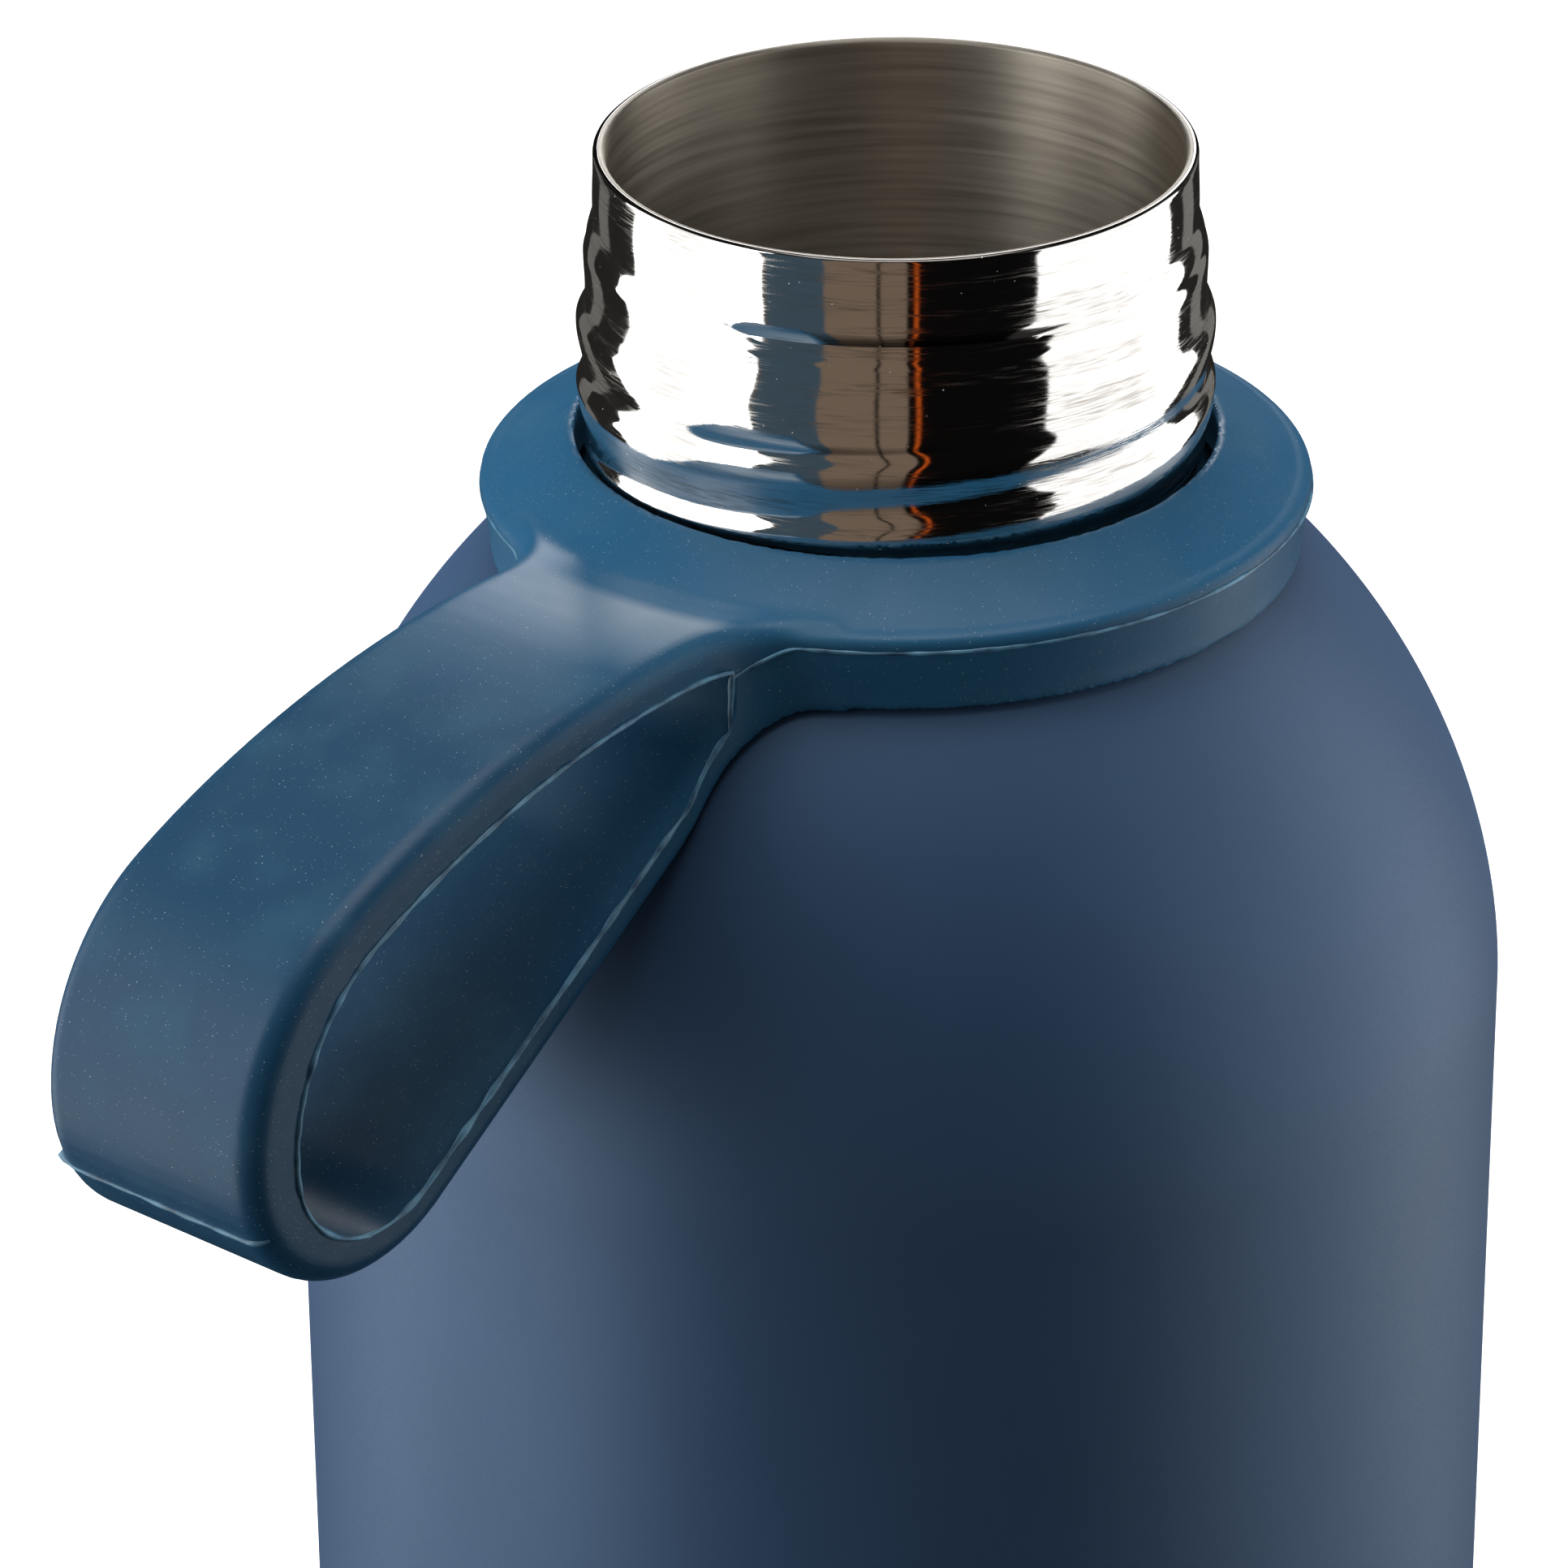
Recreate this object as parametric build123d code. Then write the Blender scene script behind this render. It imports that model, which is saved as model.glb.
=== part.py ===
from build123d import *
from math import cos, pi, radians, sin
import os

# Double-walled vacuum bottle with an open, threaded steel neck and a silicone carry loop.
# Millimetres, +Z up. The origin is the centre of the foot, on the surface the bottle stands on.
# The carry loop points along -Y.

# Outer wall
bottle_height = 265.0          # foot to rim
body_radius = 45.0
outer_wall = 0.5
shoulder_depth = 65.0          # rim down to the top of the straight side
shoulder_eye_radius = 1.85     # where the shoulder curve would run level
shoulder_power = 1.838         # 2 would be a plain ellipse
base_joint_height = 14.0       # where the body is welded to its base

# Neck, as depths below the rim
rim_radius = 21.58
sheet_lip = 0.40               # each of the two sheets at the lip
lip_rounding = 0.34
rim_band_depth = 4.6
thread_shelf_step = 0.97       # proud of the rim band
thread_shelf_depth = 6.2
thread_lead = 10.0             # two starts, so a ridge every 5 mm
thread_starts = 2
thread_height = 0.65           # ridge above the shelf
thread_ridge_width = 3.2
thread_top_depth = 7.6
thread_bottom_depth = 16.6
bead_height = 0.40             # above the shelf
bead_depth = 18.8
bead_half_width = 1.5
neck_root_step = 0.42          # proud of the rim band
neck_root_depth = 23.6
neck_flare_step = 1.6          # from the neck root out to the shoulder curve
neck_flare_depth = 26.2251     # where the flare meets the shoulder curve

# Liner
vacuum_gap = 3.5               # between the two walls
liner_wall = 0.4
liner_neck_depth = 24.0        # straight part of the mouth
liner_bottom_height = 10.0     # underside of the liner above the floor
liner_corner_radius = 10.0
liner_joint_height = 24.0      # where the liner is welded to its bottom
weld_gap = 0.02

# Foot
foot_corner_radius = 5.0
foot_ring_width = 4.0
recess_depth = 3.0
port_cup_radius = 4.0
port_cup_height = 2.0
port_hole_radius = 1.0
port_seal_height = 2.4
port_seal_clearance = 0.8
cover_wall = 0.6
cover_inset = 1.0
cover_clearance = 0.15

# Vacuum parts
getter_offset = 18.0           # from the axis
getter_radius = 4.5
getter_height = 1.6
holder_wall = 0.4
holder_clearance = 0.2
foil_wall = 0.15
foil_gap = 0.1
foil_margin = 5.0

# Carry loop
collar_bore_clearance = 1.2    # over the neck root, so that it passes the thread
collar_bead_clearance = 1.1    # below the bead
collar_slope = 27.0            # degrees below level
collar_edge_radius = 1.3
collar_width = 7.0             # from the hole to the outside
collar_side_height = 3.7
collar_side_draft = 0.6        # the side leans in downwards
collar_foot_chamfer = 0.8
collar_inner_chamfer = 0.8
collar_lift = 0.35             # running gap over the shoulder
strap_width = 19.5
strap_root_thickness = 3.15
strap_edge_radius = 1.3
strap_wall_start = 2.0         # from the collar to the finger hole
strap_roof_drop = 5.4          # from the collar's top to the roof of the finger hole
strap_heading = 4.2            # degrees above level
strap_arcs = ((70.0, 29.4), (14.6, 66.0), (8.0, 121.0))   # inner radius and turn in degrees
strap_arc_growth = (6.6, 2.2, 3.8)                        # outer radius less inner radius
strap_floor_thickness = 2.1    # measured upright, where the hole starts over the shoulder
strap_floor_run = 6.0          # from the hole's start to the straight lower strand
strap_corner_radius = 1.2
strap_gap = 0.3                # to the collar
# The strap lifts about a line along X in that gap, 24.3 mm below the rim.

# Sizes that follow from those above
thread_shelf_radius = rim_radius + thread_shelf_step
thread_crest_radius = thread_shelf_radius + thread_height
bead_radius = thread_shelf_radius + bead_height
neck_root_radius = rim_radius + neck_root_step
neck_flare_radius = neck_root_radius + neck_flare_step
shoulder_reach = body_radius - shoulder_eye_radius
flare_share = (neck_flare_radius - shoulder_eye_radius) / shoulder_reach
shoulder_rise = (shoulder_depth - neck_flare_depth) / (1 - flare_share ** shoulder_power) ** (1 / shoulder_power)
collar_hole_radius = neck_root_radius + collar_bore_clearance
collar_radius = collar_hole_radius + collar_width
collar_top_depth = bead_depth + bead_half_width + collar_bead_clearance
strap_roof_depth = collar_top_depth + strap_roof_drop


def shoulder_point(angle, inward=0.0):
    """Point on the shoulder curve, moved inward along its normal. Angle 0 is the straight side."""
    across = cos(angle) ** (2 / shoulder_power)
    up = sin(angle) ** (2 / shoulder_power)
    slope_r = across ** (shoulder_power - 1) / shoulder_reach
    slope_z = up ** (shoulder_power - 1) / shoulder_rise
    length = (slope_r ** 2 + slope_z ** 2) ** 0.5
    r = body_radius - shoulder_reach + shoulder_reach * across - inward * slope_r / length
    z = bottle_height - shoulder_depth + shoulder_rise * up - inward * slope_z / length
    return r, z


def shoulder_angle(radius, inward=0.0):
    """Angle at which the shoulder curve, moved inward, comes to this radius."""
    low, high = 0.0, pi / 2
    for _ in range(60):
        middle = (low + high) / 2
        if shoulder_point(middle, inward)[0] > radius:
            low = middle
        else:
            high = middle
    return low


def shoulder_curve(top_radius, inward=0.0, steps=14):
    """Spline from the straight side up to the given radius."""
    last = shoulder_angle(top_radius, inward)
    points = [shoulder_point(last * step / steps, inward) for step in range(steps + 1)]
    return Spline(*points, tangents=[(0, 1), tangent_at(last, inward)])


def tangent_at(angle, inward=0.0):
    """Direction of the shoulder curve, going up."""
    step = 1e-4
    r0, z0 = shoulder_point(angle - step, inward)
    r1, z1 = shoulder_point(angle + step, inward)
    length = ((r1 - r0) ** 2 + (z1 - z0) ** 2) ** 0.5
    return (r1 - r0) / length, (z1 - z0) / length


def shoulder_height(radius, inward=0.0):
    return shoulder_point(shoulder_angle(radius, inward), inward)[1]


def section(*edges):
    """Closed section in radius and height, on the plane through the axis."""
    return Plane.XZ * make_face(Wire(list(edges)))


def chain(*points):
    """Straight edges through the points."""
    return [Line(a, b) for a, b in zip(points, points[1:])]


def turned(*edges):
    return revolve(section(*edges), Axis.Z, 360)


def depth(below_rim):
    return bottle_height - below_rim


def thread_ridge(turn):
    """One start of the rolled thread, as a low rounded ridge on the neck."""
    rise = thread_bottom_depth - thread_top_depth
    path = Helix(pitch=thread_lead, height=rise, radius=thread_shelf_radius)
    half = thread_ridge_width / 2
    sunk = -outer_wall / 2
    crest = thread_crest_radius - thread_shelf_radius
    profile = make_face(Wire([ThreePointArc((sunk, -half), (crest, 0), (sunk, half)), Line((sunk, half), (sunk, -half))]))
    plane = Plane(origin=path @ 0, x_dir=(1, 0, 0), z_dir=path % 0)
    ridge = sweep(plane * profile, path=path, is_frenet=True)
    return Pos(0, 0, depth(thread_bottom_depth)) * Rot(0, 0, turn) * ridge


def outer_shell():
    """Body, shoulder and neck, drawn from one tube."""
    flare_end = shoulder_point(shoulder_angle(neck_flare_radius))
    flare_inner = shoulder_point(shoulder_angle(neck_flare_radius, outer_wall), outer_wall)
    flare_tangent = tangent_at(shoulder_angle(neck_flare_radius))
    root = depth(neck_root_depth)
    lip_inner = rim_radius - sheet_lip
    bead_top = depth(bead_depth - bead_half_width)
    bead_bottom = depth(bead_depth + bead_half_width)
    shelf = depth(thread_shelf_depth)
    band = depth(rim_band_depth)
    top = bottle_height
    shelf_inner = thread_shelf_radius - outer_wall
    root_inner = neck_root_radius - outer_wall
    outside = [
        Line((body_radius, base_joint_height), shoulder_point(0)),
        shoulder_curve(neck_flare_radius),
        Spline(flare_end, (neck_root_radius, root), tangents=[flare_tangent, (0, 1)]),
        Line((neck_root_radius, root), (neck_root_radius, bead_bottom)),
        ThreePointArc((neck_root_radius, bead_bottom), (bead_radius, depth(bead_depth)), (thread_shelf_radius, bead_top)),
        Line((thread_shelf_radius, bead_top), (thread_shelf_radius, shelf)),
        Spline((thread_shelf_radius, shelf), (rim_radius, band), tangents=[(0, 1), (0, 1)]),
        Line((rim_radius, band), (rim_radius, top - lip_rounding)),
        RadiusArc((rim_radius, top - lip_rounding), (rim_radius - lip_rounding, top), -lip_rounding),
        Line((rim_radius - lip_rounding, top), (lip_inner, top)),
    ]
    inside = chain(
        (lip_inner, top),
        (lip_inner, band),
        (shelf_inner, shelf),
        (shelf_inner, bead_top),
        (root_inner, bead_bottom),
        (root_inner, root),
    )
    inside.append(Spline((root_inner, root), flare_inner, tangents=[(0, -1), (-flare_tangent[0], -flare_tangent[1])]))
    inside.append(shoulder_curve(neck_flare_radius, outer_wall))
    inside.append(Line(shoulder_point(0, outer_wall), (body_radius - outer_wall, base_joint_height)))
    inside.append(Line((body_radius - outer_wall, base_joint_height), (body_radius, base_joint_height)))
    shell = turned(*outside, *inside)
    for start in range(thread_starts):
        shell += thread_ridge(360 * start / thread_starts)
    return shell


def inner_vessel():
    """Liner: straight mouth, shoulder and side, open below until its bottom is welded on."""
    mouth_outer = rim_radius - sheet_lip - weld_gap
    mouth_inner = mouth_outer - sheet_lip
    gap_out = outer_wall + vacuum_gap
    gap_in = gap_out + liner_wall
    side_outer = body_radius - gap_out
    flare = neck_flare_radius
    joint = liner_joint_height
    neck_end = depth(liner_neck_depth)
    top = bottle_height
    tangent_out = tangent_at(shoulder_angle(flare, gap_out), gap_out)
    tangent_in = tangent_at(shoulder_angle(flare, gap_in), gap_in)
    out_end = shoulder_point(shoulder_angle(flare, gap_out), gap_out)
    in_end = shoulder_point(shoulder_angle(flare, gap_in), gap_in)
    return turned(
        Line((side_outer, joint), shoulder_point(0, gap_out)),
        shoulder_curve(flare, gap_out),
        Spline(out_end, (mouth_outer, neck_end), tangents=[tangent_out, (0, 1)]),
        Line((mouth_outer, neck_end), (mouth_outer, top)),
        Line((mouth_outer, top), (mouth_inner + lip_rounding, top)),
        RadiusArc((mouth_inner + lip_rounding, top), (mouth_inner, top - lip_rounding), -lip_rounding),
        Line((mouth_inner, top - lip_rounding), (mouth_inner, neck_end)),
        Spline((mouth_inner, neck_end), in_end, tangents=[(0, -1), (-tangent_in[0], -tangent_in[1])]),
        shoulder_curve(flare, gap_in),
        Line(shoulder_point(0, gap_in), (side_outer - liner_wall, joint)),
        Line((side_outer - liner_wall, joint), (side_outer, joint)),
    )


def inner_bottom():
    """Dished bottom of the liner."""
    radius = body_radius - outer_wall - vacuum_gap
    corner = liner_corner_radius
    low = liner_bottom_height
    joint = liner_joint_height
    inner = radius - liner_wall
    inner_corner = corner - liner_wall
    return turned(
        Line((0, low), (radius - corner, low)),
        RadiusArc((radius - corner, low), (radius, low + corner), -corner),
        Line((radius, low + corner), (radius, joint)),
        Line((radius, joint), (inner, joint)),
        Line((inner, joint), (inner, low + corner)),
        RadiusArc((inner, low + corner), (inner - inner_corner, low + liner_wall), inner_corner),
        Line((inner - inner_corner, low + liner_wall), (0, low + liner_wall)),
        Line((0, low + liner_wall), (0, low)),
    )


def recess_radius():
    return body_radius - foot_corner_radius - foot_ring_width


def outer_base():
    """Foot ring with its recess and the cup of the vacuum port."""
    corner = foot_corner_radius
    wall = outer_wall
    inner = body_radius - wall
    recess = recess_radius()
    joint = base_joint_height
    cup = port_cup_radius
    cup_top = recess_depth + port_cup_height
    under = chain(
        (body_radius - corner, 0),
        (recess, 0),
        (recess, recess_depth),
        (cup, recess_depth),
        (cup, cup_top),
        (port_hole_radius, cup_top),
        (port_hole_radius, cup_top + wall),
        (cup + wall, cup_top + wall),
        (cup + wall, recess_depth + wall),
        (recess + wall, recess_depth + wall),
        (recess + wall, wall),
        (body_radius - corner, wall),
    )
    return turned(
        *under,
        RadiusArc((body_radius - corner, wall), (inner, corner), -(corner - wall)),
        Line((inner, corner), (inner, joint)),
        Line((inner, joint), (body_radius, joint)),
        Line((body_radius, joint), (body_radius, corner)),
        RadiusArc((body_radius, corner), (body_radius - corner, 0), corner),
    )


def base_cover():
    """Shallow cap that closes the recess and hides the port."""
    radius = recess_radius() - cover_clearance
    low = cover_inset
    return turned(*chain(
        (0, low),
        (radius, low),
        (radius, recess_depth),
        (radius - cover_wall, recess_depth),
        (radius - cover_wall, low + cover_wall),
        (0, low + cover_wall),
        (0, low),
    ))


def port_seal():
    """Fused bead that closes the port after the air is drawn out."""
    top = recess_depth + port_cup_height
    low = top - port_seal_height
    base = port_cup_radius - port_seal_clearance
    tip = base / 2
    return turned(*chain((0, low), (tip, low), (base, (low + top) / 2), (base, top), (0, top), (0, low)))


def getter_holder():
    """Tray welded under the liner's bottom."""
    inner = getter_radius + holder_clearance
    outer = inner + holder_wall
    top = liner_bottom_height
    low = top - getter_height - holder_clearance - holder_wall
    tray = Pos(getter_offset, 0, low) * Cylinder(outer, top - low, align=(Align.CENTER, Align.CENTER, Align.MIN))
    room = Cylinder(inner, top - low, align=(Align.CENTER, Align.CENTER, Align.MIN))
    window = Box(4 * outer, getter_radius, top - low, align=(Align.CENTER, Align.CENTER, Align.MIN))
    place = Pos(getter_offset, 0, low + holder_wall)
    return tray - place * room - place * window


def getter():
    """Tablet that takes up the last of the gas."""
    low = liner_bottom_height - getter_height - holder_clearance
    return Pos(getter_offset, 0, low) * Cylinder(getter_radius, getter_height, align=(Align.CENTER, Align.CENTER, Align.MIN))


def radiation_foil():
    """Metal foil wrapped round the liner's straight side."""
    inner = body_radius - outer_wall - vacuum_gap + foil_gap
    low = liner_joint_height + foil_margin
    height = depth(shoulder_depth) - foil_margin - low
    align = (Align.CENTER, Align.CENTER, Align.MIN)
    foil = Cylinder(inner + foil_wall, height, align=align) - Cylinder(inner, height, align=align)
    return Pos(0, 0, low) * foil


def loop_collar():
    """Moulded ring that turns on the neck, with its underside following the shoulder."""
    slope = radians(collar_slope)
    hole = collar_hole_radius
    edge_r = collar_radius - collar_edge_radius
    edge_depth = collar_top_depth + (edge_r - hole) * sin(slope) / cos(slope)
    side_top = edge_depth + 0.8 * collar_edge_radius
    side_bottom = side_top + collar_side_height
    bulge = (collar_radius - 0.3 * collar_edge_radius, depth(edge_depth + 0.3 * collar_edge_radius))
    foot_r = collar_radius - collar_side_draft - collar_foot_chamfer
    foot = shoulder_point(shoulder_angle(foot_r, -collar_lift), -collar_lift)
    side_foot = (collar_radius - collar_side_draft, depth(side_bottom))
    low = shoulder_angle(foot_r, -collar_lift)
    high = shoulder_angle(hole + collar_inner_chamfer, -collar_lift)
    steps = 6
    under = [shoulder_point(low + (high - low) * step / steps, -collar_lift) for step in range(steps + 1)]
    inner_foot = (hole, under[-1][1] + 1.5 * collar_inner_chamfer)
    return turned(
        Line(inner_foot, (hole, depth(collar_top_depth))),
        Line((hole, depth(collar_top_depth)), (edge_r, depth(edge_depth))),
        ThreePointArc((edge_r, depth(edge_depth)), bulge, (collar_radius, depth(side_top))),
        Line((collar_radius, depth(side_top)), side_foot),
        Line(side_foot, foot),
        Spline(*under),
        Line(under[-1], inner_foot),
    )


def heading_vector(degrees):
    return cos(radians(degrees)), sin(radians(degrees))


def strap_chain(start, growth):
    """Tangent arcs of one face of the strap, from its root round the far end."""
    heading = strap_heading
    edges = []
    for (radius, turn), extra in zip(strap_arcs, growth):
        arc = JernArc(start, heading_vector(heading), radius + extra, -turn)
        edges.append(arc)
        start = arc @ 1
        heading -= turn
    return edges, start, heading_vector(heading)


def strap_hole():
    """Finger hole, drawn in distance from the axis and height."""
    wall = collar_radius + strap_gap + strap_wall_start
    roof = (wall, depth(strap_roof_depth))
    floor = (wall, shoulder_height(wall, -collar_lift) + strap_floor_thickness)
    edges, end, direction = strap_chain(roof, (0, 0, 0))
    run = (end.X - wall - strap_floor_run) / -direction[0]
    bend = (end.X + run * direction[0], end.Y + run * direction[1])
    face = make_face(Wire([*edges, Line(end, bend), Line(bend, floor), Line(floor, roof)]))
    corners = [vertex for vertex in face.vertices() if vertex.X < wall + 0.01]
    return fillet(corners, strap_corner_radius)


def strap_outline():
    """Outer contour of the strap, run on into the collar and the shoulder, which then trim it."""
    wall = collar_radius + strap_gap + strap_wall_start
    away = heading_vector(strap_heading + 90)
    start = (wall + strap_root_thickness * away[0], depth(strap_roof_depth) + strap_root_thickness * away[1])
    back = heading_vector(strap_heading + 180)
    run_back = (start[0] - collar_hole_radius) / -back[0]
    root = (start[0] + run_back * back[0], start[1] + run_back * back[1])
    edges, end, direction = strap_chain(start, strap_arc_growth)
    run = (end.X - collar_hole_radius) / -direction[0]
    low = (end.X + run * direction[0], end.Y + run * direction[1])
    return make_face(Wire([Line(root, start), *edges, Line(end, low), Line(low, root)]))


def under_shoulder():
    """All that lies under the shoulder and its running gap."""
    low = base_joint_height
    top = shoulder_angle(neck_root_radius, -collar_lift)
    return turned(
        Line((0, low), (body_radius + collar_lift, low)),
        Line((body_radius + collar_lift, low), shoulder_point(0, -collar_lift)),
        shoulder_curve(neck_root_radius, -collar_lift),
        Line(shoulder_point(top, -collar_lift), (0, shoulder_point(top, -collar_lift)[1])),
        Line((0, shoulder_point(top, -collar_lift)[1]), (0, low)),
    )


def loop_strap():
    """Closed carrying strap that springs from the collar's side."""
    plane = Plane(origin=(0, 0, 0), x_dir=(0, -1, 0), z_dir=(-1, 0, 0))
    band = extrude(plane * strap_outline(), amount=strap_width / 2, both=True)
    rims = [edge for edge in band.edges() if abs(abs(edge.center().X) - strap_width / 2) < 0.01]
    far = [edge for edge in rims if edge.center().Y < -collar_hole_radius - 0.01]
    band = fillet(far, strap_edge_radius)
    band -= extrude(plane * strap_hole(), amount=strap_width, both=True)
    band -= Cylinder(collar_radius + strap_gap, 2 * bottle_height)
    return band - under_shoulder()


if __name__ == "__main__":
    os.makedirs("parts", exist_ok=True)
    nodes = {
        "outer_shell": outer_shell,
        "outer_base": outer_base,
        "base_cover": base_cover,
        "port_seal": port_seal,
        "inner_vessel": inner_vessel,
        "inner_bottom": inner_bottom,
        "getter_holder": getter_holder,
        "getter": getter,
        "radiation_foil": radiation_foil,
        "loop_collar": loop_collar,
        "loop_strap": loop_strap,
    }
    for name, make in nodes.items():
        solid = make()
        print(name, round(solid.volume, 1), "cubic mm")
        export_step(solid, f"parts/{name}.step")
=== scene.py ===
import math

import bpy
import bmesh
import numpy as np
from mathutils import Matrix, Vector


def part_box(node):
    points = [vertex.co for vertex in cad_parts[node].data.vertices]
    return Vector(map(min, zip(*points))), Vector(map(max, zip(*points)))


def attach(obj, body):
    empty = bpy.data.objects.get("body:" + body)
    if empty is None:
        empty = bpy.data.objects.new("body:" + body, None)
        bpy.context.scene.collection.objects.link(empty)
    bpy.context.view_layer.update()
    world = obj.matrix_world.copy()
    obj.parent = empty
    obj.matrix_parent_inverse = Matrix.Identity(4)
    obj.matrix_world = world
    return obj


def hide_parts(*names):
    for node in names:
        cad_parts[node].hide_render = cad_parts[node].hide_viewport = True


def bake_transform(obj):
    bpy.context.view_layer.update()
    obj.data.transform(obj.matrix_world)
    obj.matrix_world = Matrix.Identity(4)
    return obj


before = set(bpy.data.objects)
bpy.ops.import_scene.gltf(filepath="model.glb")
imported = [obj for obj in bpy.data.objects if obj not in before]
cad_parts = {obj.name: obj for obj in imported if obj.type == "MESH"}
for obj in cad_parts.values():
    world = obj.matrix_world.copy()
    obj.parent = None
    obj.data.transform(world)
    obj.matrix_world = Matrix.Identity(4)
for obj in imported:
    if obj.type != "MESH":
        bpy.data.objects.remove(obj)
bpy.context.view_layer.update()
print("frame loaded:", len(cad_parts), "nodes")

mm = 0.001


def cadCorners(node):  # lowest and highest corner of a CAD node, in millimetres
    low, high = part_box(node)
    return np.array(low) / mm, np.array(high) / mm


# Everything is placed from these
shellLow, shellHigh = cadCorners("outer_shell")
collarLow, collarHigh = cadCorners("loop_collar")
strapLow, strapHigh = cadCorners("loop_strap")
linerLow, linerHigh = cadCorners("inner_bottom")
coverLow, coverHigh = cadCorners("base_cover")
rimHeight = shellHigh[2]
bodyRadius = shellHigh[0]
jointHeight = shellLow[2]
collarRadius = collarHigh[0]
linerRadius = linerHigh[0]


def linear(hexColour):  # sRGB hex to the linear colour that shaders take
    parts = [int(hexColour[i:i + 2], 16) / 255 for i in (1, 3, 5)]
    return [p / 12.92 if p <= 0.04045 else ((p + 0.055) / 1.055) ** 2.4 for p in parts] + [1.0]


def addNode(tree, kind, inputs=None, **settings):
    node = tree.nodes.new("ShaderNode" + kind)
    for key, value in settings.items():
        setattr(node, key, value)
    for key, value in (inputs or {}).items():
        if isinstance(value, bpy.types.NodeSocket):
            tree.links.new(value, node.inputs[key])
        else:
            node.inputs[key].default_value = value
    return node


def startMaterial(name):
    material = bpy.data.materials.new(name)
    material.use_nodes = True
    tree = material.node_tree
    tree.nodes.clear()
    output = addNode(tree, "OutputMaterial")
    place = addNode(tree, "TexCoord").outputs["Object"]
    return material, tree, output, place


def stretched(tree, place, across, along):
    # Object coordinates in which one unit is `across` mm round the axis and `along` mm up it
    scale = (1 / (across * mm), 1 / (across * mm), 1 / (along * mm))
    return addNode(tree, "Mapping", {"Vector": place, "Scale": scale}).outputs["Vector"]


# Dust is far finer than this on the real thing, and is drawn just coarse enough to show
def dustSpecks(tree, place, spacing, size, share):
    grid = stretched(tree, place, spacing, spacing)
    cells = addNode(tree, "TexVoronoi", {"Vector": grid, "Scale": 1.0, "Randomness": 1.0})
    grain = addNode(tree, "SeparateColor", {"Color": cells.outputs["Color"]})
    reach = size / spacing
    dot = addNode(tree, "MapRange", {
        "Value": cells.outputs["Distance"], "From Min": reach * 1.3, "From Max": reach * 0.7})
    keep = addNode(tree, "MapRange", {
        "Value": grain.outputs["Red"], "From Min": 1 - share, "From Max": 1 - share * 0.6})
    return addNode(tree, "Math", {0: dot.outputs[0], 1: keep.outputs[0]}, operation="MULTIPLY").outputs[0]


def lipShare(tree, place, depth):  # 1 on the ground weld round the lip, where darker shade is painted, 0 below it
    height = addNode(tree, "SeparateXYZ", {"Vector": place}).outputs["Z"]
    low, high = (rimHeight - depth) * mm, (rimHeight - depth / 2) * mm
    return addNode(tree, "MapRange", {"Value": height, "From Min": low, "From Max": high}).outputs[0]


def layered(tree, base, layers):
    # A base colour with others laid over it, each by its own 0 to 1 share
    colour = linear(base)
    for share, over in layers:  # a Mix takes its share in socket 0, colours in 6 and 7, and gives 2
        mix = addNode(tree, "Mix", {0: share, 6: colour, 7: linear(over)}, data_type="RGBA")
        colour = mix.outputs[2]
    return colour


polishedLook = {
    "colour": "#e3e1de",
    "streak": "#a19b93",
    "dust": "#d8dade",
    "roughness": 0.045,
    "markRoughness": 0.26,    # added where scratches gather
    "scratchAcross": 2.6,     # mm, length of a buffing scratch
    "scratchAlong": 0.13,     # mm, its width, drawn a few times too wide so that it shows
    "scratchDepth": 0.0045,   # mm
    "wearAcross": 14.0,       # mm, patches where the scratches gather
    "wearAlong": 1.1,
    "dustSpacing": 0.7,       # mm
    "dustSize": 0.05,         # mm, radius
    "dustShare": 0.2,
    "weldShadeDepth": 0.16,        # mm below the rim, the ground weld round the lip, painted darker as shade
    # painted shade on the ground weld, dark so that the lip does not catch the light
    "weldShade": "#4d4a47",
}


def polishedSteel():
    # 304 stainless, drawn and buffed on a wheel: a mirror with fine scratches that run round the neck
    look = polishedLook
    material, tree, output, place = startMaterial("polished_stainless")
    fine = addNode(tree, "TexNoise", {
        "Vector": stretched(tree, place, look["scratchAcross"], look["scratchAlong"]),
        "Scale": 1.0, "Detail": 3.0})
    broad = addNode(tree, "TexNoise", {
        "Vector": stretched(tree, place, look["wearAcross"], look["wearAlong"]), "Scale": 1.0, "Detail": 2.0})
    wear = addNode(tree, "MapRange", {"Value": broad.outputs["Fac"], "From Min": 0.4, "From Max": 0.66})
    lines = addNode(tree, "MapRange", {"Value": fine.outputs["Fac"], "From Min": 0.46, "From Max": 0.7})
    marks = addNode(tree, "Math", {0: lines.outputs[0], 1: wear.outputs[0]}, operation="MULTIPLY").outputs[0]
    dust = dustSpecks(tree, place, look["dustSpacing"], look["dustSize"], look["dustShare"])
    lip = lipShare(tree, place, look["weldShadeDepth"])
    # scratches, the painted shade on the weld round the lip, and dust
    steel = layered(tree, look["colour"], [(marks, look["streak"]), (lip, look["weldShade"]), (dust, look["dust"])])
    roughness = addNode(tree, "MapRange", {
        "Value": marks, "To Min": look["roughness"], "To Max": look["roughness"] + look["markRoughness"]})
    metallic = addNode(tree, "MapRange", {"Value": dust, "To Min": 1.0, "To Max": 0.0})
    bump = addNode(tree, "Bump", {
        "Height": fine.outputs["Fac"], "Strength": 1.0, "Distance": look["scratchDepth"] * mm})
    metal = addNode(tree, "BsdfPrincipled", {
        "Base Color": steel, "Metallic": metallic.outputs[0], "Roughness": roughness.outputs[0],
        "Normal": bump.outputs["Normal"]})
    tree.links.new(metal.outputs[0], output.inputs["Surface"])
    return material


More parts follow.
